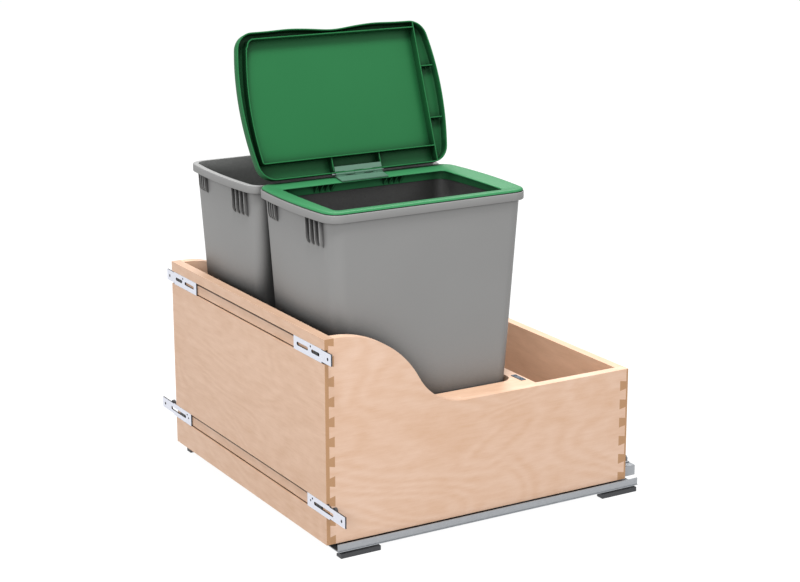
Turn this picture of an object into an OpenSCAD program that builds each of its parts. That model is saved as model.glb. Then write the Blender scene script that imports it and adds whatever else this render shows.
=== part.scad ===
/* [Drawer box] */
// Outside width of the drawer box, mm
box_w = 554;  // [480:1:620]
// Outside depth of the drawer box, mm
box_d = 565;  // [500:1:600]
// Height of the tall front, mm
front_h = 327;  // [260:1:380]
// Height of the low sides and the rear, mm
rear_h = 192;  // [160:1:240]
// Thickness of the front, the sides and the rear, mm
wood_t = 15.9;  // [12:0.1:19]
// Radius of the upper sweep of each side, mm
sweep_top_r = 165;  // [120:1:200]
// Radius of the lower sweep of each side, mm
sweep_low_r = 95;  // [70:1:130]
// Thickness of the bin platform, mm
platform_t = 12.7;  // [9:0.1:16]
// Depth of the bin platform from the front face, mm
platform_y = 392;  // [380:1:430]

/* [Bins] */
// Half width of a bin over its rim, mm
bin_a = 122.5;  // [110:0.5:124]
// Half length of a bin over its rim corners, mm
bin_b = 176.7;  // [150:0.1:180]
// Height of a bin, mm
bin_h = 481.3;  // [430:0.1:520]
// Wall thickness of a bin, mm
bin_wall = 2.2;  // [1.8:0.1:3]

/* [Lid] */
// Angle at which the lid stands open, degrees
lid_angle = 110.5;  // [95:0.5:115]
// Depth of the lid from its hinge to its free edge, mm
lid_l = 241;  // [235:1:245]

/* [Runners] */
// Height of the drawer box above the cabinet floor, mm
box_z = 24;  // [22:1:30]
// Length of the runner on the cabinet floor, mm
runner_l = 570;  // [520:1:575]

/* [Hidden] */
front_y = -299;
half = box_w / 2;
inner = half - wood_t;
pitch = 31.75;
first_pin = 5.65;
front_lap = 6.5;
rear_lap = 3.5;
bottom_z = 12.7;
bottom_t = 9.5;
groove = 6;
bin_x = 124.5;
bin_y = 205.8;
far_dy = -3.5;
bin_z = bottom_z + bottom_t + 0.3;
rim_z = bin_z + bin_h;
rim_h = 12.6;
channel_h = 22;
channel_low = 45;
channel_high = 288.3;
plate_t = 2.5;
clamps = [[248, channel_high, 15], [252, channel_low, 19]];
hinge_x = 12.6;
frame_top = rim_z + 4.6;
hinge_z = frame_top + 4.3;
hinge_y0 = 165;
hinge_y1 = 251;
sheet = 1.5;

wood = [0.85, 0.70, 0.55];
ply = [0.80, 0.66, 0.50];
zinc = [0.72, 0.73, 0.76];
bright = [0.86, 0.87, 0.91];
grey = [0.55, 0.55, 0.54];
green = [0.20, 0.50, 0.28];
frosted = [0.55, 0.68, 0.60];
nylon = [0.12, 0.13, 0.14];

// Shared helpers. All modules below are drawn from the box's front bottom edge.
module placed() { translate([0, front_y, box_z]) children(); }
module side(s) { if (s < 0) mirror([1, 0, 0]) children(); else children(); }
module along_x(l) { rotate([90, 0, 90]) linear_extrude(l) children(); }
module along_y(l) { rotate([90, 0, 0]) translate([0, 0, -l]) linear_extrude(l) children(); }
module block(x, y, z) {
    translate([x[0], y[0], z[0]]) cube([x[1] - x[0], y[1] - y[0], z[1] - z[0]]);
}
module rod_y(d, l) { rotate([-90, 0, 0]) cylinder(d = d, h = l, $fn = 32); }
module rod_x(d, l) { rotate([0, 90, 0]) cylinder(d = d, h = l, $fn = 32); }
module slot_2d(l, w) {
    union() {
        square([l - w, w], center = true);
        for (s = [-1, 1]) translate([s * (l - w) / 2, 0]) circle(d = w, $fn = 32);
    }
}

function arc(cx, cy, r, a0, a1, n, i0) =
    [for (i = [i0:n]) let (a = a0 + (a1 - a0) * i / n) [cx + r * cos(a), cy + r * sin(a)]];
function half_outline(a, b, s, r, n) =
    let (R = (a * a + s * s) / (2 * s), yc = b + s - R, fx = a - r,
         fy = yc + sqrt((R - r) * (R - r) - fx * fx), t = atan2(fy - yc, fx))
    concat(arc(fx, fy, r, 0, t, n, 0), arc(0, yc, R, t, 180 - t, 2 * n, 1),
           arc(-fx, fy, r, 180 - t, 180, n, 1));
function outline(a, b, s, r, n = 6) =
    let (h = half_outline(a, b, s, r, n))
    concat(h, [for (i = [len(h) - 1:-1:0]) [h[i][0], -h[i][1]]]);
module bowed(a, b, s, r) { polygon(outline(a, b, s, r)); }

// Drawer box.
function tail(y_end, y_root, y_in, zc) =
    [[y_end, zc - 9.4], [y_end, zc + 9.4], [y_root, zc + 7.1], [y_in, zc + 7.1],
     [y_in, zc - 7.1], [y_root, zc - 7.1]];
function tail_z(k) = first_pin + pitch / 2 + pitch * k;
front_tails = floor((front_h - first_pin) / pitch);
rear_tails = floor((rear_h - first_pin) / pitch);
module front_tails_2d() {
    for (k = [0:front_tails - 1])
        translate([0, 2 * tail_z(k)]) mirror([0, 1])
            polygon(tail(front_lap, wood_t, wood_t + 1, tail_z(k)));
}
module rear_tails_2d() {
    y = box_d - wood_t;
    for (k = [0:rear_tails - 1]) polygon(tail(box_d - rear_lap, y, y - 1, tail_z(k)));
    zc = tail_z(rear_tails);
    polygon([[box_d - rear_lap, zc - 9.4], [box_d - rear_lap, rear_h],
             [y - 1, rear_h], [y - 1, zc - 7.1], [y, zc - 7.1]]);
}
sweep_y0 = 20;
sweep_dz = front_h - sweep_top_r - rear_h - sweep_low_r;
sweep_y1 = sweep_y0 + sqrt(pow(sweep_top_r + sweep_low_r, 2) - sweep_dz * sweep_dz);
sweep_k = sweep_top_r / (sweep_top_r + sweep_low_r);
sweep_yt = sweep_y0 + (sweep_y1 - sweep_y0) * sweep_k;
sweep_zt = front_h - sweep_top_r - sweep_dz * sweep_k;
module side_profile() {
    translate([wood_t, 0]) square([box_d - 2 * wood_t, rear_h]);
    translate([wood_t, 0]) square([sweep_y0 - wood_t, front_h]);
    translate([wood_t, 0]) square([sweep_yt - wood_t, sweep_zt]);
    intersection() {
        translate([sweep_y0, front_h - sweep_top_r]) circle(sweep_top_r, $fn = 96);
        translate([sweep_y0, sweep_zt - 1]) square([sweep_yt - sweep_y0, front_h]);
    }
    difference() {
        translate([sweep_yt, 0]) square([sweep_y1 - sweep_yt, sweep_zt]);
        translate([sweep_y1, rear_h + sweep_low_r]) circle(sweep_low_r, $fn = 96);
    }
    front_tails_2d();
    rear_tails_2d();
}
module bottom_block() {
    block([-inner - groove, inner + groove], [wood_t - groove, box_d - wood_t + groove],
          [bottom_z, bottom_z + bottom_t]);
}
module platform_block() {
    block([-inner - 5, inner + 5], [wood_t - 5, platform_y], [rear_h - platform_t, rear_h]);
}
module side_panel(s) {
    color(wood) side(s) difference() {
        translate([inner, 0, 0]) along_x(wood_t) side_profile();
        bottom_block();
        platform_block();
    }
}
module bracket_screw_hole(x, z) { translate([x, -1, z]) rod_y(3.6, 13); }
module front_panel() {
    color(wood) difference() {
        block([-half, half], [0, wood_t], [0, front_h]);
        for (s = [-1, 1]) side(s) {
            translate([inner, 0, 0]) along_x(wood_t + 1) front_tails_2d();
            for (b = clamps) bracket_screw_hole(b[0], b[1] + channel_h / 2);
        }
        for (z = [channel_low, channel_high]) {
            block([-half - 1, half + 1], [-1, plate_t + 0.1], [z, z + channel_h]);
            block([-half - 1, half + 1], [-1, plate_t + 2], [z, z + 1.8]);
            block([-half - 1, half + 1], [-1, plate_t + 2], [z + channel_h - 3.2, z + channel_h]);
        }
        bottom_block();
        platform_block();
    }
}
module rear_panel() {
    color(wood) difference() {
        block([-half, half], [box_d - wood_t, box_d], [0, rear_h]);
        for (s = [-1, 1]) side(s) {
            translate([inner, 0, 0]) along_x(wood_t + 1) rear_tails_2d();
            block([229, inner], [box_d - wood_t - 1, box_d + 1], [-1, 13.2]);
            translate([250, box_d - wood_t - 1, 24]) rod_y(6.2, wood_t + 2);
        }
        bottom_block();
    }
}
module bottom_panel() {
    color(ply) difference() {
        bottom_block();
        for (s = [-1, 1]) side(s) for (y = [36, 66])
            translate([222, y, bottom_z - 1]) cylinder(d = 3, h = 8, $fn = 24);
    }
}
module bin_platform() {
    color(wood) difference() {
        platform_block();
        for (s = [-1, 1]) translate([s * bin_x, bin_y + (s < 0 ? far_dy : 0), rear_h - platform_t - 1])
            linear_extrude(platform_t + 2) union() {
                square([211, 284], center = true);
                square([163, 332], center = true);
                for (i = [-1, 1], j = [-1, 1])
                    translate([i * 81.5, j * 142]) circle(24, $fn = 64);
            }
        for (s = [-1, 1]) side(s) for (x = [217, 235])
            translate([x, 382, rear_h - 10]) cylinder(d = 3, h = 11, $fn = 24);
    }
}
module platform_plates() {
    color(zinc) for (s = [-1, 1]) side(s) difference() {
        block([211, 241], [377.5, 386.5], [rear_h, rear_h + 1.2]);
        for (x = [217, 235])
            translate([x, 382, rear_h - 1]) cylinder(d = 3.6, h = 4, $fn = 24);
    }
}
module platform_screws() {
    color(zinc) for (s = [-1, 1]) side(s) for (x = [217, 235]) {
        translate([x, 382, rear_h - 9.5]) cylinder(d = 2.9, h = 10.7, $fn = 24);
        translate([x, 382, rear_h + 1.2]) cylinder(d1 = 6.4, d2 = 4.4, h = 1.5, $fn = 24);
    }
}

// Door brackets: plates that slide in the channels of the front.
// Each slot runs on a small black clamp block, held by one screw.
module plate_2d(x0, shoulder, l) {
    translate([x0, 0.2]) square([shoulder, channel_h - 0.4]);
    translate([x0, 2.4]) square([l, 18.4]);
}
module flat_plate(z) {
    translate([0, plate_t, z]) rotate([90, 0, 0]) linear_extrude(plate_t) children();
}
module bracket_upper(s) {
    color(bright) side(s) flat_plate(channel_high) difference() {
        plate_2d(177.5, 90, 119.5);
        translate([206, 11]) slot_2d(37, 5.6);
        translate([232, 17.2]) circle(d = 3.6, $fn = 32);
        translate([248, 11]) slot_2d(26, 5.6);
        translate([286.5, 11]) circle(d = 5.2, $fn = 32);
    }
}
module bracket_lower(s) {
    color(bright) side(s) flat_plate(channel_low) difference() {
        plate_2d(215.5, 72, 120);
        translate([268, 11]) slot_2d(62, 5.6);
        translate([232, 16.6]) circle(d = 3.6, $fn = 32);
        translate([226, 12]) circle(d = 3.6, $fn = 32);
        translate([324.5, 11]) circle(d = 5.2, $fn = 32);
    }
}
module bracket_cam(s, z) {
    color(nylon) side(s) translate([297.5, plate_t, channel_low + z]) difference() {
        rod_y(11, 4);
        translate([1.5, -1, 0]) rod_y(3.4, 6);
    }
}
module clamp_blocks() {
    color(nylon) for (s = [-1, 1]) side(s) for (b = clamps)
        translate([b[0], 0, b[1] + channel_h / 2]) difference() {
            translate([0, plate_t + 0.1, 0]) rotate([90, 0, 0])
                linear_extrude(plate_t - 0.1) slot_2d(b[2], 5.3);
            translate([0, -1, 0]) rod_y(3.7, 5);
            translate([0, -1, 0]) rod_y(5.1, 2.2);
        }
}
module bracket_screws() {
    color(nylon) for (s = [-1, 1]) side(s) for (b = clamps)
        translate([b[0], 0.4, b[1] + channel_h / 2]) {
            rod_y(4.8, 0.8);
            rod_y(3.5, 10.6);
        }
}

// Bins.
module bin(x, dy = 0) {
    color(grey) translate([x, bin_y + dy, 0]) {
        difference() {
            hull() {
                translate([0, 0, rim_z - 0.1]) linear_extrude(0.1) bowed(119.5, 169.5, 8.3, 25);
                translate([0, 0, bin_z]) linear_extrude(0.1) bowed(94, 146, 7, 22);
            }
            hull() {
                translate([0, 0, rim_z]) linear_extrude(0.1)
                    bowed(119.5 - bin_wall, 169.5 - bin_wall, 8.1, 23);
                translate([0, 0, bin_z + 2.6]) linear_extrude(0.1)
                    bowed(94 - bin_wall, 146 - bin_wall, 6.8, 20);
            }
        }
        translate([0, 0, rim_z - rim_h]) linear_extrude(rim_h) difference() {
            bowed(bin_a, bin_b, 8.5, 27.7);
            bowed(bin_a - 2, bin_b - 2, 8.4, 25.7);
        }
        translate([0, 0, rim_z - 2.2]) linear_extrude(2.2) difference() {
            bowed(bin_a - 1, bin_b - 1, 8.4, 26.7);
            bowed(118.3, 168.3, 8.2, 23.8);
        }
        for (j = [-1, 1], i = [-1, 1], k = [0:3]) {
            x = i == j ? 56 + 8.5 * k : 48.5 + 13 * k;
            y = 177 - x * x / 1780;
            d = i == j ? 44 : 56;
            translate([i * x - 0.9, 0, rim_z]) along_x(1.8)
                polygon([[j * (y - 3.5), -d], [j * (y - 1.5), -11],
                         [j * (y + 6), -11], [j * (y + 5), 11 - d]]);
        }
    }
}
// The compost frame: a plate on the rim that falls gently to its opening,
// a skirt down into the bin, and groups of gussets between the two.
module compost_frame() {
    color(green) translate([bin_x, bin_y, 0]) difference() {
        union() {
            hull() {
                translate([0, 0, rim_z]) linear_extrude(2.4) bowed(121.5, 175.5, 8.5, 26.5);
                translate([0, 0, rim_z]) linear_extrude(4.6) bowed(119, 173, 8.4, 24);
            }
            translate([0, 0, rim_z - 1.6]) linear_extrude(2.6) bowed(114.5, 164.5, 8.2, 23);
            translate([0, 0, rim_z - 19.3]) linear_extrude(20) difference() {
                bowed(115.6, 165.6, 8.2, 24);
                bowed(113.4, 163.4, 8.2, 22);
            }
            for (i = [-1, 1], j = [-1, 1], k = [0:3])
                translate([0, 64 * j + 10 * k - 15, 0]) mirror([i < 0 ? 1 : 0, 0, 0]) along_y(1.8)
                    polygon([[114.6, rim_z - 18], [114.6, rim_z - 1], [100, rim_z - 1],
                             [100, rim_z - 3], [113, rim_z - 18]]);
        }
        hull() {
            translate([0, 0, rim_z + 0.2]) linear_extrude(0.1) bowed(89.7, 150, 1.5, 8);
            translate([0, 0, rim_z + 4.6]) linear_extrude(0.1) bowed(113, 167, 8.2, 20);
        }
        translate([0, 0, rim_z - 17]) linear_extrude(20) bowed(89.7, 150, 1.5, 8);
    }
}

// Hinge and lid. The lid is drawn closed, then turned open about the hinge pin.
module opened() { translate([hinge_x, 0, hinge_z]) rotate([0, -lid_angle, 0]) children(); }
module knuckle_arm(k, z0, z1) {
    y = hinge_y0 + knuckle_l * k + 0.2;
    translate([0, y, 0]) rod_y(5.8, knuckle_l - 0.4);
    block([0, 5], [y, y + knuckle_l - 0.4], [z0, z1]);
}
module pin_hole() { translate([0, hinge_y0 - 10, 0]) rod_y(3.1, hinge_y1 - hinge_y0 + 20); }
knuckle_l = (hinge_y1 - hinge_y0) / 5;
module frame_leaf() {
    color(frosted) translate([hinge_x, 0, hinge_z]) difference() {
        union() {
            for (k = [0, 2, 4]) knuckle_arm(k, -4.2, -1.8);
            translate([0, hinge_y0, 0]) along_y(hinge_y1 - hinge_y0)
                polygon([[1, -4.2], [22.4, -8.2], [22.4, -6.8], [4, -3.4], [1, -3.4]]);
        }
        pin_hole();
    }
}
module lid_leaf() {
    color(frosted) opened() difference() {
        union() {
            for (k = [1, 3]) knuckle_arm(k, -1.5, 0);
            block([4, 12], [hinge_y0, hinge_y1], [-1.5, 0]);
        }
        pin_hole();
    }
}
module hinge_pin() {
    color(zinc) translate([hinge_x, 0, hinge_z]) {
        translate([0, hinge_y0 - 5, 0]) rod_y(3, hinge_y1 - hinge_y0 + 8);
        translate([0, hinge_y0 - 6.5, 0]) rod_y(5.2, 1.5);
    }
}
module lid_2d(d) {
    difference() {
        bowed(lid_l / 2 - d, 170 - d, 14.6, 31 - d);
        translate([lid_l / 2 + 120, 0]) circle(125 + d, $fn = 128);
    }
}
module tray_2d() {
    polygon(concat([[28, 358], [28, 42]],
        [for (k = [1:12]) let (u = k / 13) [29 + 200 * u, 40.5 - 19 * u + 28 * u * u - 2.5 * sin(180 * u)]],
        [[225, 52], [229, 58], [231, 66], [231, 358]]));
}
module lid() {
    color(green) opened() difference() {
        union() {
            translate([1 + lid_l / 2, bin_y, 0]) {
                translate([0, 0, -3]) linear_extrude(15) difference() {
                    lid_2d(0);
                    lid_2d(2.2);
                }
                translate([0, 0, 12]) linear_extrude(2.2) lid_2d(0);
            }
            translate([0, 0, -3]) linear_extrude(16) difference() {
                tray_2d();
                offset(delta = -2) tray_2d();
            }
            block([2, 240.5], [357, 359], [-3, 13]);
            for (w = [76, 164]) block([w - 1, w + 1], [358, 383], [0, 13]);
            for (y = [hinge_y0 - 1, hinge_y1 + 1]) block([2, 29], [y - 1, y + 1], [0, 13]);
        }
        block([-1, 13], [hinge_y0 - 0.5, hinge_y1 + 0.5], [-4, 0]);
        block([-1, 36], [hinge_y0 - 0.5, hinge_y1 + 0.5], [-4, -1.3]);
        block([-1, 4.5], [hinge_y0 - 8, hinge_y1 + 6], [-4, 3.6]);
    }
}

// Runners: a fixed channel, rollers in cages, a middle tube and a cap under the box.
// A tab pressed down from the channel at each foot takes the floor screw.
foot_y = [21, 514];
foot_l = 70;
tab_y = 17;
tab_w = 16;
screw_x = 264;
module runner_fixed(s) {
    color(zinc) side(s) difference() {
        union() {
            translate([0, 16.2, 0]) {
                block([226, 284.6], [0, runner_l], [-13, -12]);
                block([226, 283], [0, runner_l], [-13, -13 + sheet]);
                block([283 - sheet, 283], [0, runner_l], [-13, -0.6]);
                block([226, 226 + sheet], [0, runner_l], [-13, -2]);
            }
            for (y = foot_y) {
                block([232, 234], [y + tab_y, y + tab_y + tab_w], [-box_z, -12]);
                block([232, 281], [y + tab_y, y + tab_y + tab_w], [-box_z, -box_z + 2]);
            }
        }
        for (y = foot_y) translate([0, y + tab_y + tab_w / 2, -box_z]) {
            translate([screw_x, 0, 9]) cylinder(d = 10, h = 5, $fn = 32);
            translate([screw_x, 0, -1]) cylinder(d = 5, h = 4, $fn = 32);
            translate([277.5, 0, -1]) cylinder(d = 2.6, h = 4, $fn = 24);
            translate([277.5, 0, -1]) cylinder(d = 5, h = 2, $fn = 32);
        }
    }
}
module runner_mid(s) {
    color(zinc) side(s) translate([236, 20, 0]) difference() {
        block([0, 19], [0, 560], [-8, 7.6]);
        block([sheet, 19 - sheet], [-1, 561], [-8 + sheet, 7.6 - sheet]);
    }
}
module runner_drawer(s) {
    color(zinc) side(s) translate([0, 16.2, 0]) difference() {
        union() {
            block([231, 260], [0, 581.8], [bottom_z - sheet, bottom_z]);
            for (x = [231, 260 - sheet]) block([x, x + sheet], [0, 581.8], [-4.6, bottom_z]);
            block([231, 234.5], [0, 581.8], [-4.6, -4.6 + sheet]);
            block([256.5, 260], [0, 581.8], [-4.6, -4.6 + sheet]);
        }
    }
}
module cage(s, z, l) {
    color(bright) side(s) translate([237.5, 155, z]) {
        difference() {
            block([0, 16], [0, l], [-0.5, 0.5]);
            for (y = [10:40:l - 10]) block([2, 14], [y - 2.2, y + 2.2], [-1, 1]);
        }
        for (y = [10:40:l - 10]) translate([2.1, y, 0]) rod_x(3.4, 11.8);
    }
}
module cage_lower(s) { cage(s, -9.75, 290); }
module cage_upper(s) { cage(s, 9.4, 290); }
module rear_hook(s) {
    color(zinc) side(s) {
        translate([0, 586, 0]) rotate([90, 0, 0]) linear_extrude(2) union() {
            translate([250, 24]) circle(d = 11, $fn = 48);
            translate([237, bottom_z]) square([9, 15.3]);
            translate([244, 18.6]) square([6, 10.8]);
        }
        block([237, 246], [584, 597], [bottom_z, bottom_z + 2]);
        translate([250, 557, 24]) rod_y(6, 27.2);
    }
}
module front_clip(s) {
    color(nylon) side(s) difference() {
        union() {
            block([216, 230.8], [20, 84], [4, bottom_z]);
            block([218, 229], [18, 40], [-1, 4]);
            block([229, 230.8], [44, 80], [-2, 4]);
        }
        for (y = [36, 66]) translate([222, y, -3]) cylinder(d = 3.3, h = 20, $fn = 24);
    }
}
module clip_screws() {
    color(bright) for (s = [-1, 1]) side(s) {
        for (y = [36, 66]) {
            z = y < 40 ? -1 : 4;
            translate([222, y, z]) cylinder(d = 2.9, h = bottom_z + 6 - z, $fn = 24);
            translate([222, y, z - 1.2]) cylinder(d = 6, h = 1.2, $fn = 24);
        }
    }
}
module damper(s) {
    color(nylon) side(s) {
        block([265, 279], [300, 440], [-11.5, -8]);
        translate([272, 304, -6.6]) rod_y(9, 120);
        translate([272, 423, -6.6]) rod_y(3, 14);
        block([267, 277], [434, 440], [-9, -2.4]);
    }
}

// Feet: wedge-shaped pads along the outer edge of each runner, riveted to its tabs.
module foot(s, y) {
    color(nylon) side(s) difference() {
        translate([0, y, 0]) along_y(foot_l)
            polygon([[269, -box_z], [284, -box_z], [284, -16.5], [276, -16.5], [269, -19.5]]);
        block([268, 281.1], [y + tab_y - 0.1, y + tab_y + tab_w + 0.1], [-box_z - 1, -box_z + 2.05]);
        translate([277.5, y + tab_y + tab_w / 2, -box_z]) cylinder(d = 2.6, h = 5.6, $fn = 24);
    }
}
module foot_rivets() {
    color(zinc) for (s = [-1, 1]) side(s) for (y = foot_y)
        translate([277.5, y + tab_y + tab_w / 2, -box_z]) {
            translate([0, 0, 0.1]) cylinder(d = 4.8, h = 0.9, $fn = 32);
            translate([0, 0, 0.1]) cylinder(d = 2.5, h = 5.4, $fn = 24);
        }
}

placed() front_panel();
placed() rear_panel();
placed() side_panel(1);  // side_panel_right
placed() side_panel(-1);  // side_panel_left
placed() bottom_panel();
placed() bin_platform();
placed() platform_plates();
placed() platform_screws();
placed() bracket_upper(1);  // bracket_upper_right
placed() bracket_upper(-1);  // bracket_upper_left
placed() bracket_lower(1);  // bracket_lower_right
placed() bracket_lower(-1);  // bracket_lower_left
placed() bracket_cam(1, 17.5);  // bracket_cam_right
placed() bracket_cam(-1, 19);  // bracket_cam_left
placed() clamp_blocks();
placed() bracket_screws();
placed() bin(bin_x);  // bin_near
placed() bin(-bin_x, far_dy);  // bin_far
placed() compost_frame();
placed() frame_leaf();
placed() lid_leaf();
placed() hinge_pin();
placed() lid();
placed() runner_fixed(1);  // runner_fixed_right
placed() runner_fixed(-1);  // runner_fixed_left
placed() runner_mid(1);  // runner_mid_right
placed() runner_mid(-1);  // runner_mid_left
placed() runner_drawer(1);  // runner_drawer_right
placed() runner_drawer(-1);  // runner_drawer_left
placed() cage_lower(1);  // cage_lower_right
placed() cage_lower(-1);  // cage_lower_left
placed() cage_upper(1);  // cage_upper_right
placed() cage_upper(-1);  // cage_upper_left
placed() rear_hook(1);  // rear_hook_right
placed() rear_hook(-1);  // rear_hook_left
placed() front_clip(1);  // front_clip_right
placed() front_clip(-1);  // front_clip_left
placed() clip_screws();
placed() damper(1);  // damper_right
placed() damper(-1);  // damper_left
placed() foot(1, foot_y[0]);  // foot_front_right
placed() foot(-1, foot_y[0]);  // foot_front_left
placed() foot(1, foot_y[1]);  // foot_rear_right
placed() foot(-1, foot_y[1]);  // foot_rear_left
placed() foot_rivets();
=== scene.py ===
import bpy, bmesh, math
from mathutils import Matrix, Vector


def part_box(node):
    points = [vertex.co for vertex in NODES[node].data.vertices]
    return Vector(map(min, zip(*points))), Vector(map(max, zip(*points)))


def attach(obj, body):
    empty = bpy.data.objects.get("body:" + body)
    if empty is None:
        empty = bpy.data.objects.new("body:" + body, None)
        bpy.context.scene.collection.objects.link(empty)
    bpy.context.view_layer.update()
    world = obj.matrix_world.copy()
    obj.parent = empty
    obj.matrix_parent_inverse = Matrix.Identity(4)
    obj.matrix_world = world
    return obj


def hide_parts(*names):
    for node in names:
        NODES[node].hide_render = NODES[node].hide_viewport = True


# Looks for a pull-out waste container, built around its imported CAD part.
# The scene is in metres. The mesh helpers work in millimetres, which piece() scales.
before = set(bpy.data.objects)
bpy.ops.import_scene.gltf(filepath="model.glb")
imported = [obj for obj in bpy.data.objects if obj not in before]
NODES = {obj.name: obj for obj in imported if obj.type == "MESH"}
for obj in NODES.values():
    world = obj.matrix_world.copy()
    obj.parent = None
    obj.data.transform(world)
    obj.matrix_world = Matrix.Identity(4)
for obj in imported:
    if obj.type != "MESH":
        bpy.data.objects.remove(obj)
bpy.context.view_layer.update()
SIDES = (-1, 1)


# ---------------------------------------------------------------- camera
# Solved together with the box's proportions: an 86 mm lens, about 3.2 m away.
AZIMUTH, ELEVATION, ROLL = (math.radians(d) for d in (59.54, 15.087, -0.098))
CAMERA_FROM_BOX = Vector((2.67367, -1.27937, 1.13354))
SENSOR_MM, LENS_MM = 36, 86.09715

FRONT_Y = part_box("front_panel")[0].y
BOX_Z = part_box("front_panel")[0].z
scene = bpy.context.scene
cam = bpy.data.objects.new("camera", bpy.data.cameras.new("camera"))
scene.collection.objects.link(cam)
scene.camera = cam
back = Vector((math.sin(AZIMUTH) * math.cos(ELEVATION),
               -math.cos(AZIMUTH) * math.cos(ELEVATION), math.sin(ELEVATION)))
right = Vector((math.cos(AZIMUTH), math.sin(AZIMUTH), 0))
up = right.cross(-back)
rx = right * math.cos(ROLL) + up * math.sin(ROLL)
ry = up * math.cos(ROLL) - right * math.sin(ROLL)
pose = Matrix((rx, ry, back)).transposed().to_4x4()
pose.translation = CAMERA_FROM_BOX + Vector((0, FRONT_Y, BOX_Z))
cam.matrix_world = pose
cam.data.sensor_width = SENSOR_MM
cam.data.lens = LENS_MM
cam.data.clip_end = 50


# ---------------------------------------------------------------- materials
class Mat:
    """A small builder of node materials."""
    def __init__(self, name, color, rough=0.5, metal=0.0, spec=0.5):
        self.m = bpy.data.materials.new(name)
        self.m.use_nodes = True
        self.t = self.m.node_tree
        self.b = self.t.nodes["Principled BSDF"]
        self.set(self.b, "Base Color", color)
        self.b.inputs["Roughness"].default_value = rough
        self.b.inputs["Metallic"].default_value = metal
        self.b.inputs["Specular IOR Level"].default_value = spec
        self.m.diffuse_color = (*color, 1)
        self.co = self.t.nodes.new("ShaderNodeTexCoord").outputs["Object"]

    def set(self, node, socket, value):
        s = node.inputs[socket]
        if isinstance(value, bpy.types.NodeSocket):
            self.t.links.new(value, s)
        elif s.type == "RGBA":
            s.default_value = (*value, 1)
        else:
            s.default_value = value

    def add(self, kind, **kw):
        """A new node's first output. _name sets an attribute, i0 an input by its number."""
        n = self.t.nodes.new(kind)
        for k, v in kw.items():
            if k.startswith("_"):
                setattr(n, k[1:], v)
            else:
                key = int(k[1:]) if k[0] == "i" and k[1:].isdigit() else k.replace("_", " ")
                self.set(n, key, v)
        return n.outputs[0]

    def math(self, op, a, b=0.0, c=0.0, clamp=False):
        return self.add("ShaderNodeMath", _operation=op, _use_clamp=clamp, i0=a, i1=b, i2=c)

    def scaled(self, vec, scale):
        return self.add("ShaderNodeMapping", Vector=vec, Scale=scale)

    def noise(self, vec, scale, detail=3.0, rough=0.55, distortion=0.0):
        return self.add("ShaderNodeTexNoise", Vector=vec, Scale=scale, Detail=detail,
                        Roughness=rough, Distortion=distortion)

    def ramp(self, fac, low, high):
        """Grey that goes from one (position, level) to the other."""
        n = self.t.nodes.new("ShaderNodeValToRGB")
        self.set(n, "Fac", fac)
        for p, (pos, level) in zip(n.color_ramp.elements, (low, high)):
            p.position = pos
            p.color = (level, level, level, 1)
        return n.outputs[0]

    def mix(self, fac, a, b, mode="MIX"):
        n = self.t.nodes.new("ShaderNodeMix")
        n.data_type, n.blend_type = "RGBA", mode
        self.set(n, 0, fac)
        self.set(n, 6, a)
        self.set(n, 7, b)
        return n.outputs[2]

    def bump(self, height, strength, dist=0.0005):
        self.set(self.b, "Normal", self.add("ShaderNodeBump", Height=height,
                                            Strength=strength, Distance=dist))

    def xyz(self, vec):
        n = self.t.nodes.new("ShaderNodeSeparateXYZ")
        self.set(n, 0, vec)
        return n.outputs

    def true_normal(self):
        return self.t.nodes.new("ShaderNodeNewGeometry").outputs["True Normal"]

    def facing(self, axis, lo=0.6, hi=0.9):
        """1 on faces that look along that axis, either way."""
        return self.ramp(self.math("ABSOLUTE", self.xyz(self.true_normal())[axis]),
                         (lo, 0), (hi, 1))

    def within(self, value, lo, hi):
        return self.math("COMPARE", value, (lo + hi) / 2, (hi - lo) / 2)

    def edge_wear_and_highlight(self, radius):
        """1 along edges, 0 on flat ground: where a rounded normal leaves the face's own. It
        marks rubbed edges and painted highlights.
        """
        soft = self.add("ShaderNodeBevel", Radius=radius)
        d = self.t.nodes.new("ShaderNodeVectorMath")
        d.operation = "DOT_PRODUCT"
        self.set(d, 0, soft)
        self.set(d, 1, self.true_normal())
        return self.ramp(d.outputs["Value"], (0.86, 1), (0.985, 0))

    def painted_shade(self, col, reach, shut, clear, dark):
        """Painted shade: darker where walls stand close around a point."""
        n = self.t.nodes.new("ShaderNodeAmbientOcclusion")
        n.samples = 8
        n.inputs["Distance"].default_value = reach
        shade = self.ramp(n.outputs["AO"], (shut, dark), (clear, 1))
        return self.mix(1.0, col, shade, "MULTIPLY")


def dim(color, k):
    return [min(1, c * k) for c in color]


# Painted shade: the dark laid in the kerfs and on the channel floor beside them, between these
# depths behind the front.
KERF_SHADE = (0.085, 0.035, 0.014)
KERF_DEPTH = (0.0024, 0.0052)


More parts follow.
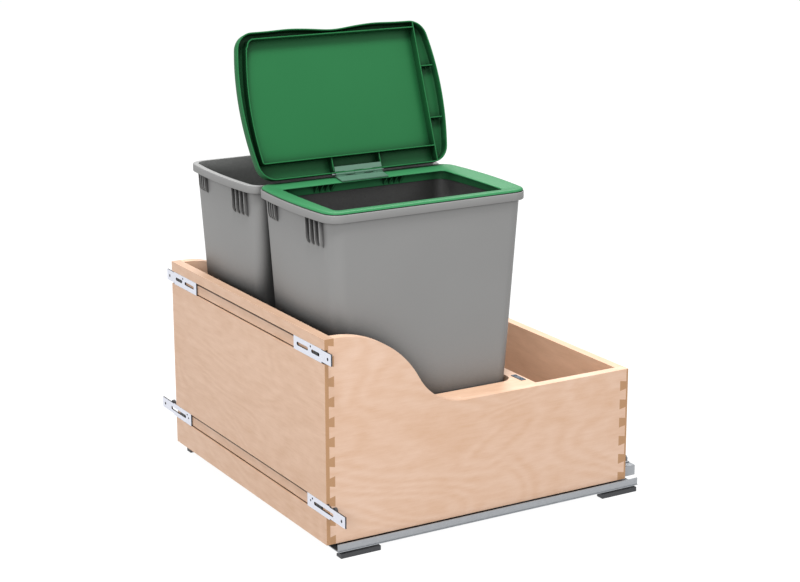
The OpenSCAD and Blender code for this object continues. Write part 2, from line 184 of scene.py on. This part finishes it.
def wood(name, grain, light, dark, end, seed, end_axis=None, top_shade=1.0, kerf_shade_bands=(), figure=0.09):
    """Lacquered birch. grain is the axis that the fibres run along, and end_axis the one
    that shows end grain. The top factor paints shade by dimming the faces that look up.
    The kerf bands, from z to z, are painted dark as shade. Edges are rubbed paler and
    carry a painted highlight."""
    m = Mat(name, light, rough=0.42, spec=0.35)
    co = m.add("ShaderNodeMapping", Vector=m.co, Location=(seed, seed * 1.7, seed * 0.6))

    def streaked(stretch, **noise):
        scale = [1.0, 1.0, 1.0]
        scale[grain] = stretch
        return m.noise(m.scaled(co, scale), **noise)

    broad = streaked(0.42, scale=5.2, detail=1.8, rough=0.45, distortion=0.8)
    rings = m.math("SINE", m.math("MULTIPLY", broad, 115.0))
    fibre = streaked(0.035, scale=520.0, rough=0.6)
    fleck = streaked(0.26, scale=120.0, detail=4.0, rough=0.65)
    tone = streaked(0.26, scale=6.0, detail=2.0)
    v = m.math("MULTIPLY_ADD", rings, figure, 0.42)
    v = m.math("MULTIPLY_ADD", m.math("SUBTRACT", fibre, 0.5), 0.5, v)
    v = m.math("MULTIPLY_ADD", m.math("SUBTRACT", fleck, 0.5), 0.9, v)
    v = m.math("MULTIPLY_ADD", m.math("SUBTRACT", tone, 0.5), 0.8, v, True)
    col = m.mix(v, light, dark)
    # Painted shade: the faces that look up are dimmed by the top factor.
    if top_shade != 1.0:
        col = m.mix(m.facing(2), col, m.mix(v, dim(light, top_shade), dim(dark, top_shade)))
    if end_axis is not None:
        grit = m.noise(co, scale=900.0, detail=2.0, rough=0.7)
        col = m.mix(m.facing(end_axis), col, m.mix(grit, end, dim(end, 0.78)))
    # Painted shade: dark over the kerf bands where they lie at the kerf depths.
    if kerf_shade_bands:
        p = m.xyz(m.co)
        mask = 0.0
        for lo, hi in kerf_shade_bands:
            mask = m.math("MAXIMUM", mask, m.within(p[2], lo, hi))
        deep = m.within(p[1], *(FRONT_Y + d for d in KERF_DEPTH))
        col = m.mix(m.math("MULTIPLY", mask, deep), col, KERF_SHADE)
    # Edges lighter: rubbed wear and a painted highlight.
    col = m.mix(m.math("MULTIPLY", m.edge_wear_and_highlight(0.0009), 0.35), col, dim(light, 1.18))
    m.set(m.b, "Base Color", col)
    m.set(m.b, "Roughness", m.math("MULTIPLY_ADD", fleck, 0.25, 0.34))
    m.set(m.b, "Coat Weight", 0.12)
    m.set(m.b, "Coat Roughness", 0.35)
    m.bump(m.math("ADD", m.math("MULTIPLY", fibre, 0.5), m.math("MULTIPLY", rings, 0.08)), 0.25)
    return m


def plastic(name, color, rough, bump=0.12, spec=0.4, edge_wear_and_highlight_gain=1.15, painted_shade=()):
    """Moulded plastic: fine texture, slow changes of colour, edges rubbed paler and painted
    with a highlight, and painted shade where walls stand close.
    """
    m = Mat(name, color, rough=rough, spec=spec)
    fine = m.noise(m.co, scale=900.0)
    broad = m.noise(m.co, scale=7.0, detail=2.0)
    col = m.mix(broad, dim(color, 0.95), dim(color, 1.05))
    # Edges paler: rubbed wear and a painted highlight.
    edge = m.math("MULTIPLY", m.edge_wear_and_highlight(0.0008), m.math("MULTIPLY_ADD", fine, 0.6, 0.3, True))
    col = m.mix(edge, col, dim(color, edge_wear_and_highlight_gain))
    # Painted shade in hollows, gaps and under rims.
    for c in painted_shade:
        col = m.painted_shade(col, *c)
    m.set(m.b, "Base Color", col)
    m.set(m.b, "Roughness", m.math("MULTIPLY_ADD", fine, 0.16, rough - 0.08))
    m.bump(fine, bump, 0.0002)
    return m


def steel(name, color, rough, grain, vary=0.12, spangle=0.0, metal=0.92, edge_shade=None):
    """Plated sheet: streaks along one axis, the mottle of galvanising, and painted light at its
    edges: with a dark colour given, painted shade on the faces that don't look along y; without
    it, edges rubbed brighter and carrying a painted highlight.
    """
    m = Mat(name, color, rough=rough, metal=metal)
    stretch = [1.0, 1.0, 1.0]
    stretch[grain] = 0.02
    streak = m.noise(m.scaled(m.co, stretch), scale=900.0, rough=0.6)
    cell = m.add("ShaderNodeTexVoronoi", Vector=m.co, Scale=170.0)
    mottle = m.noise(m.co, scale=60.0, detail=4.0, rough=0.6)
    f = m.math("ADD", m.math("MULTIPLY", streak, 0.6), m.math("MULTIPLY", mottle, 0.4))
    f = m.math("MULTIPLY_ADD", m.math("SUBTRACT", cell, 0.4), spangle, f, True)
    col = m.mix(f, dim(color, 1 - vary), dim(color, 1 + vary))
    # Painted shade on the faces that don't look along y, the plate's edges and ends; without
    # that colour, a painted highlight along the edges.
    if edge_shade:
        col = m.mix(m.facing(1, 0.4, 0.6), edge_shade, col)
    else:
        col = m.mix(m.math("MULTIPLY", m.edge_wear_and_highlight(0.0005), 0.5), col, dim(color, 1.25))
    m.set(m.b, "Base Color", col)
    m.set(m.b, "Roughness", m.math("MULTIPLY_ADD", f, 0.3, rough - 0.15))
    m.bump(streak, 0.08, 0.0002)
    return m


# The front's two channels, each with a saw kerf along its bottom and its top.
CHANNELS = [BOX_Z + z for z in (0.045, 0.2883)]
# Dark bands painted as shade over each kerf and the channel floor beside it, from z to z.
KERF_SHADE_BANDS = [k for z in CHANNELS for k in ((z - 0.0002, z + 0.0019), (z + 0.0176, z + 0.0222))]

LIGHT, DARK, END = (0.79, 0.535, 0.385), (0.63, 0.38, 0.235), (0.56, 0.31, 0.155)
PALE, TAN = (0.83, 0.585, 0.445), (0.70, 0.425, 0.265)
# The rear panel's birch colours: a warmer, brighter copy of the front's, painting bounce light
# on the panel's inside.
REAR_LIT_PALE, REAR_LIT_DEEP = (0.82, 0.545, 0.38), (0.66, 0.41, 0.265)
# The front's faces that look up get painted shade.
M_FRONT = wood("birch_front", 0, LIGHT, DARK, END, 0.3, end_axis=0, top_shade=0.78,
               kerf_shade_bands=KERF_SHADE_BANDS, figure=0.085)
M_REAR_BOUNCE_LIT = wood("birch_rear_bounce_lit", 0, REAR_LIT_PALE, REAR_LIT_DEEP, END, 2.1, end_axis=0)
M_SIDE = wood("birch_side", 1, PALE, TAN, END, 4.4, end_axis=1, figure=0.12)
M_PLY = wood("birch_ply", 1, LIGHT, DARK, END, 7.7)
# The bins, lid and ring carry painted shade where walls stand close: in hollows, gaps and under
# rims.
M_BIN = plastic("bin_grey", (0.262, 0.262, 0.259), 0.48,
                painted_shade=((0.3, 0.3, 0.8, 0.12), (0.018, 0.4, 0.95, 0.78)))
# The lid and the frame's ring are one green plastic in two copies: the lid's darker, painted
# shade; the ring's lighter, painted light.
M_GREEN_SHADED = plastic("compost_green", (0.016, 0.13, 0.042), 0.46, bump=0.06, edge_wear_and_highlight_gain=1.5, spec=0.12,
                  painted_shade=((0.05, 0.3, 0.85, 0.15),))
M_RING_LIT = plastic("compost_green_ring", (0.036, 0.20, 0.078), 0.46, bump=0.06, edge_wear_and_highlight_gain=1.4,
                 spec=0.15, painted_shade=((0.05, 0.3, 0.8, 0.12), (0.008, 0.45, 0.95, 0.5)))
M_FROST = plastic("frosted_strap", (0.13, 0.27, 0.19), 0.35, bump=0.05)
M_FROST.b.inputs["Transmission Weight"].default_value = 0.35
M_NYLON = plastic("dark_nylon", (0.048, 0.05, 0.055), 0.5)
M_ZINC = steel("galvanised", (0.36, 0.375, 0.395), 0.42, 1, vary=0.2, spangle=0.3)
M_PLATE = steel("dark_zinc_plate", (0.10, 0.12, 0.145), 0.55, 0, metal=0.6)
# The bright zinc's edges and ends are painted dark as shade.
M_BRIGHT = steel("bright_zinc", (0.72, 0.74, 0.82), 0.40, 0, vary=0.05, metal=0.6,
                 edge_shade=(0.06, 0.06, 0.065))
M_ROLL = steel("bright_rollers", (0.72, 0.74, 0.80), 0.30, 0, vary=0.05)
M_BLACK = steel("black_screw", (0.03, 0.03, 0.03), 0.35, 0)

# A node takes the first material whose words its name starts with.
LOOKS = (("front_panel", M_FRONT), ("rear_panel", M_REAR_BOUNCE_LIT), ("side_panel", M_SIDE),
         ("bottom_panel", M_PLY), ("bin_platform", M_PLY), ("platform_", M_PLATE),
         ("bracket_screws", M_BLACK), ("clamp_blocks", M_BLACK), ("clip_screws", M_ROLL),
         ("foot_front", M_NYLON), ("foot_rear", M_NYLON), ("front_clip", M_NYLON),
         ("damper", M_NYLON), ("bracket_cam", M_NYLON), ("bracket_", M_BRIGHT),
         ("cage_", M_ROLL), ("frame_leaf", M_FROST), ("lid_leaf", M_FROST),
         ("bin_", M_BIN), ("lid", M_GREEN_SHADED), ("compost_frame", M_GREEN_SHADED), ("", M_ZINC))
for name, o in NODES.items():
    o.data.materials.clear()
    o.data.materials.append(next(mat.m for start, mat in LOOKS if name.startswith(start)))


# ---------------------------------------------------------------- mesh helpers
def outline(a, b, s, r, n=14, side=1):
    """Rounded outline of half sizes a and b, its two ends bowed by s, as in the CAD."""
    R = (a * a + s * s) / (2 * s)
    yc = b + s - R
    fx = a - r
    fy = yc + math.sqrt((R - r) ** 2 - fx * fx)
    t = math.atan2(fy - yc, fx)
    half = [(fx + r * math.cos(t * i / n), fy + r * math.sin(t * i / n)) for i in range(n + 1)]
    bow = [t + (math.pi - 2 * t) * i / (2 * n) for i in range(1, 2 * n)]
    half += [(R * math.cos(q), yc + R * math.sin(q)) for q in bow]
    half += [(-x, y) for x, y in reversed(half[:n + 1])]
    low = [(x, -y) for x, y in reversed(half)]
    out = []
    for run, nxt in ((half, low), (low, half)):
        out += run
        (x0, y0), (x1, y1) = run[-1], nxt[0]
        out += [(x0, y0 + (y1 - y0) * i / side) for i in range(1, side)]
    return out


def loft(bm, rings, place, loop=False):
    """Join rings of equal count; the ends are capped unless the rings close on themselves."""
    rows = [[bm.verts.new(place @ Vector((x, y, z))) for x, y in pts] for pts, z in rings]
    n = len(rows[0])
    pairs = list(zip(rows, rows[1:])) + ([(rows[-1], rows[0])] if loop else [])
    for p, q in pairs:
        for i in range(n):
            bm.faces.new((p[i], p[(i + 1) % n], q[(i + 1) % n], q[i]))
    if not loop:
        bm.faces.new(rows[0])
        bm.faces.new(rows[-1])


def prism(bm, flat, depth, place, soft=0.3):
    """A plate of that flat outline, with softened edges."""
    t = bmesh.new()
    lo = [t.verts.new((x, y, -depth / 2)) for x, y in flat]
    hi = [t.verts.new((x, y, depth / 2)) for x, y in flat]
    n = len(flat)
    t.faces.new(lo)
    t.faces.new(hi)
    for i in range(n):
        t.faces.new((lo[i], lo[(i + 1) % n], hi[(i + 1) % n], hi[i]))
    bmesh.ops.bevel(t, geom=t.edges[:], offset=soft, segments=2, profile=0.5,
                    affect="EDGES", clamp_overlap=True)
    t.transform(place)
    mesh = bpy.data.meshes.new("tmp")
    t.to_mesh(mesh)
    bm.from_mesh(mesh)
    bpy.data.meshes.remove(mesh)
    t.free()


def strip(bm, path, thick, z0, z1, place):
    """A thin wall along an open flat path, its lower edge rounded."""
    pts = [Vector(p) for p in path]
    last = len(pts) - 1
    normals = []
    for i in range(len(pts)):
        d = (pts[min(i + 1, last)] - pts[max(i - 1, 0)]).normalized()
        normals.append(Vector((-d.y, d.x)))
    h = thick / 2
    profile = [(-h * 1.25, z1), (-h, z0 + 0.5), (-h * 0.5, z0),
               (h * 0.5, z0), (h, z0 + 0.5), (h * 1.25, z1)]
    rows = [[bm.verts.new(place @ Vector((*(p + q * o), z))) for p, q in zip(pts, normals)]
            for o, z in profile]
    for r, s in zip(rows, rows[1:] + rows[:1]):
        for i in range(last):
            bm.faces.new((r[i], r[i + 1], s[i + 1], s[i]))
    for e in (0, -1):
        bm.faces.new([r[e] for r in rows])


def piece(bm, name, mat, body, node):
    """Turn the mesh into a piece that rides on its body for a CAD node."""
    bmesh.ops.recalc_face_normals(bm, faces=bm.faces[:])
    bm.transform(Matrix.Scale(0.001, 4))
    me = bpy.data.meshes.new(name)
    bm.to_mesh(me)
    bm.free()
    me.polygons.foreach_set("use_smooth", [True] * len(me.polygons))
    me.set_sharp_from_angle(angle=math.radians(32))
    me.materials.append(mat.m)
    o = bpy.data.objects.new(name, me)
    scene.collection.objects.link(o)
    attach(o, body)
    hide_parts(node)


def box_mm(node):
    return [corner * 1000 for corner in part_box(node)]


def centred(lo, hi):
    """Places a shape that is drawn around the middle of that box, seen from above."""
    return Matrix.Translation(((lo.x + hi.x) / 2, (lo.y + hi.y) / 2, 0))


def shrink(o, d, s=0.0):
    """An outline's four numbers, drawn in by d and with s less bow."""
    return (o[0] - d, o[1] - d, o[2] - s, o[3] - d)


def between(p, q, k):
    return tuple(a + (b - a) * k for a, b in zip(p, q))


# ---------------------------------------------------------------- bins
# Outlines are (half width, half length, bow, corner radius).
BIN_TOP, BIN_LOW = (119.5, 169.5, 8.3, 25.0), (94.0, 146.0, 7.0, 22.0)
BIN_RIM = (122.5, 176.7, 8.5, 27.7)
RIM_H, WALL = 12.6, 2.2
END_Y, END_CURVE = 177, 1780        # the rim's end wall, and twice its radius
NARROW_FINS, WIDE_FINS = (56, 8.5, 44), (48.5, 13, 56)      # first, pitch, height


def build_bin(name, body):
    lo, hi = box_mm(name)
    z0, z1 = lo.z, hi.z
    place = centred(lo, hi)
    h = z1 - z0
    lip = z1 - RIM_H

    def outer(z):
        return between(BIN_LOW, BIN_TOP, (z - z0) / h)

    def inner(z):
        return shrink(outer(z), WALL, 0.15)

    # up the inside, over the rim, under it, and down the outside
    rings = [(shrink(inner(z0 + 3), 9), z0 + 2.7), (shrink(inner(z0 + 3), 4), z0 + 3.2),
             (shrink(inner(z0 + 5), 1.2), z0 + 5.2), (inner(z0 + 9), z0 + 9)]
    rings += [(inner(z0 + h * k), z0 + h * k) for k in (0.2, 0.4, 0.6, 0.8, 0.95)]
    rings += [(inner(z1 - 1), z1 - 1.0), (shrink(inner(z1), -0.35), z1 - 0.3),
              (shrink(inner(z1), -1.0), z1)]
    rings += [(shrink(BIN_RIM, d), z) for d, z in (
        (1.3, z1), (0.45, z1 - 0.25), (0.08, z1 - 0.9), (0, z1 - 1.6), (0, lip + 0.9),
        (0.3, lip + 0.2), (0.9, lip), (1.7, lip + 0.1), (2.0, lip + 0.6), (2.0, z1 - 3.0))]
    rings += [(shrink(outer(z1), -0.7), z1 - 2.3), (outer(z1 - 3), z1 - 3.2)]
    rings += [(outer(z0 + h * k), z0 + h * k) for k in (0.95, 0.8, 0.6, 0.4, 0.2)]
    rings += [(outer(z0 + 9), z0 + 9), (shrink(outer(z0 + 4), 0.9), z0 + 4),
              (shrink(outer(z0 + 1.5), 2.8), z0 + 1.3),
              (shrink(outer(z0), 6), z0), (shrink(outer(z0), 14), z0)]
    bm = bmesh.new()
    loft(bm, [(outline(*o), z) for o, z in rings], place)
    for j in SIDES:
        for i in SIDES:
            first, pitch, d = NARROW_FINS if i == j else WIDE_FINS
            for x in (first + pitch * k for k in range(4)):
                y = END_Y - x * x / END_CURVE
                flat = [(y - 3.5, -d), (y + 2.2, 4.5 - d), (y + 4.9, 11 - d),
                        (y + 5.9, -11), (y - 1.5, -11)]
                turn = Matrix(((0, 0, 1, i * x), (j, 0, 0, 0), (0, 1, 0, z1), (0, 0, 0, 1)))
                prism(bm, flat, 1.9, place @ turn, 0.4)
    piece(bm, name + "_shell", M_BIN, body, name)


build_bin("bin_near", "near_bin")
build_bin("bin_far", "far_bin")


# ---------------------------------------------------------------- compost frame
# Heights are from the bin's top. Four gussets stiffen each end of each long skirt wall.
HOLE, FLAT = (89.7, 150.0, 1.5, 8.0), (113.0, 167.0, 8.2, 20.0)
EDGE, SKIRT = (121.5, 175.5, 8.5, 26.5), (115.6, 165.6, 8.2, 24.0)
GUSSET = [(114.6, -18), (114.6, -1), (100, -1), (100, -3), (113, -18)]


def build_frame():
    lo, hi = box_mm("bin_near")
    place = centred(lo, hi)
    mouth = shrink(HOLE, -1.1)
    rings = [(shrink(HOLE, -0.7), -1.6), (HOLE, -1.1), (HOLE, -0.4),
             (shrink(HOLE, -0.35), 0.05), (mouth, 0.42)]
    rings += [(between(mouth, FLAT, k), 0.42 + 3.78 * k) for k in (0.35, 0.7, 1.0)]
    rings += [(shrink(EDGE, d), z) for d, z in (
        (4.6, 4.52), (3.0, 4.42), (1.5, 3.75), (0.5, 2.7), (0.08, 1.7), (0, 1.5),
        (0.3, 0.95), (2.6, 0.85), (3.0, 0.02))]
    rings += [(shrink(SKIRT, d), z) for d, z in (
        (-0.8, 0.02), (0, -0.8), (0, -18.8), (0.4, -19.3), (1.8, -19.3), (2.2, -18.8),
        (2.2, -2.2), (3.2, -1.6))]
    bm = bmesh.new()
    loft(bm, [(outline(*o), hi.z + z) for o, z in rings], place, loop=True)
    for i in SIDES:
        for j in SIDES:
            for y in (64 * j + 10 * k - 14.1 for k in range(4)):
                turn = Matrix(((i, 0, 0, 0), (0, 0, 1, y), (0, 1, 0, hi.z), (0, 0, 0, 1)))
                prism(bm, GUSSET, 1.8, place @ turn, 0.35)
    piece(bm, "compost_ring", M_RING_LIT, "near_bin", "compost_frame")


build_frame()


# ---------------------------------------------------------------- lid
# Drawn closed: x runs from the hinge to the free edge, and heights are from the hinge pin.
LID_L, OPEN = 241.0, 110.5
LID = (LID_L / 2, 170.0, 14.6, 31.0)
# (drawn in by, height), from the inner face round the lip to the outer face
LID_SECTION = ((28, 12.2), (9, 12.1), (4.6, 11.9), (3.2, 11.2), (2.5, 9.6), (2.2, -2.3),
               (1.9, -2.8), (1.4, -3.0), (0.7, -3.0), (0.2, -2.7), (0.0, -2.2), (0.0, 9.4),
               (0.5, 11.2), (1.6, 12.8), (3.4, 13.8), (6.0, 14.15), (12, 14.2), (28, 14.2))
RIB_T, RIB_TOP, LIP = 2.0, 13, -3
HINGE_X, TRAY_X, LONG_RIB_Y = 29, 230, 358
BIN_Y = 205.8       # the CAD's middle of the bin, which the ribs' y is counted with


def free_edge(x, y):
    """The free edge is cut in by 1 mm, with a finger notch between two low swells."""
    notch = 4.4 * math.exp(-(y / 36) ** 2)
    swell = 1.3 * math.exp(-((abs(y) - 80) / 28) ** 2)
    return x - min(1.0, max(0.0, (x - 60) / 30)) * (1.0 + notch - swell)


def tray_path():
    """The tray wall: straight, round a corner, bowed beside the lid's end, and back."""
    path = [(TRAY_X, 357), (TRAY_X, 200), (TRAY_X, 66)]
    corner = [math.radians(q) for q in range(10, 90, 10)]
    path += [(217 + 13 * math.cos(q), 62.5 - 13 * math.sin(q)) for q in corner]
    for x in (216 - 184 * k / 12 for k in range(13)):
        u = (x - HINGE_X) / 200
        path.append((x, 41 - 19 * u + 28 * u * u - 2.5 * math.sin(math.pi * u)))
    return path + [(30.5, 41.2), (HINGE_X, 43), (HINGE_X, 200), (HINGE_X, 357)]


def build_lid():
    lo, hi = box_mm("hinge_pin")
    b0, b1 = box_mm("bin_near")
    cy = (b0.y + b1.y) / 2
    y0 = cy - BIN_Y
    place = (Matrix.Translation(((lo.x + hi.x) / 2, 0, (lo.z + hi.z) / 2))
             @ Matrix.Rotation(math.radians(-OPEN), 4, "Y"))

    def ring(d):
        return [(free_edge(x, y) + 1 + LID_L / 2, y + cy)
                for x, y in outline(*shrink(LID, d), side=48)]

    def rib(path, foot):
        strip(bm, [(x, y0 + y) for x, y in path], RIB_T, foot, RIB_TOP, place)

    bm = bmesh.new()
    loft(bm, [(ring(d), z) for d, z in LID_SECTION], place)
    rib(tray_path(), LIP)
    rib([(3, LONG_RIB_Y), (120, LONG_RIB_Y), (239, LONG_RIB_Y)], LIP)
    for x in (76, 164):
        rib([(x, LONG_RIB_Y), (x, 370), (x, 383)], 0)
        for y in (366, 374):
            turn = Matrix(((-1, 0, 0, x), (0, 0, 1, y0 + y), (0, 1, 0, 0), (0, 0, 0, 1)))
            prism(bm, [(0, RIB_TOP), (0, 7), (7, RIB_TOP)], 1.4, place @ turn)
    for end, out in zip(box_mm("frame_leaf"), SIDES):
        y = end.y + out - y0
        rib([(5.5, y), (17, y), (HINGE_X, y)], 0)
    piece(bm, "lid_shell", M_GREEN_SHADED, "lid_body", "lid")


build_lid()


# ---------------------------------------------------------------- stage and light
bpy.ops.mesh.primitive_plane_add(size=30, location=(0, 0, -0.0005))
floor = bpy.context.object
floor.name = "floor"
fm = Mat("floor_white", (0.12, 0.12, 0.12), rough=1.0, spec=0.0)
fm.set(fm.b, "Emission Color", (1, 1, 1))
fm.b.inputs["Emission Strength"].default_value = 0.95
floor.data.materials.append(fm.m)
floor.visible_diffuse = False

AIM = Vector((0, 0, 0.4))


def area(name, loc, size, power):
    light = bpy.data.lights.new(name, "AREA")
    light.shape = "RECTANGLE"
    light.size, light.size_y = size
    light.energy = power
    o = bpy.data.objects.new(name, light)
    o.location = loc
    o.rotation_euler = (AIM - Vector(loc)).to_track_quat("-Z", "Y").to_euler()
    o.visible_camera = False
    scene.collection.objects.link(o)


area("key", (0.86, -0.75, 3.2), (0.9, 0.9), 90)
area("back", (-1.75, 1.1, 2.7), (1.6, 1.6), 60)
area("fill", (2.9, -2.3, 1.4), (1.3, 1.2), 42)
area("right", (2.0, 1.8, 2.3), (1.4, 1.4), 16)
area("left", (-1.5, -3.2, 1.5), (2.0, 1.4), 16)

# The sky lights the object at part of its strength, and the camera sees it white.
SKY = 0.5
world = bpy.data.worlds.new("studio")
scene.world = world
world.use_nodes = True
sky = world.node_tree.nodes["Background"]
sky.inputs["Color"].default_value = (1, 1, 1, 1)
seen = world.node_tree.nodes.new("ShaderNodeLightPath").outputs["Is Camera Ray"]
level = world.node_tree.nodes.new("ShaderNodeMath")
level.operation = "MULTIPLY_ADD"
level.inputs[1].default_value = 1 - SKY
level.inputs[2].default_value = SKY
world.node_tree.links.new(seen, level.inputs[0])
world.node_tree.links.new(level.outputs[0], sky.inputs["Strength"])
scene.view_settings.view_transform = "Standard"
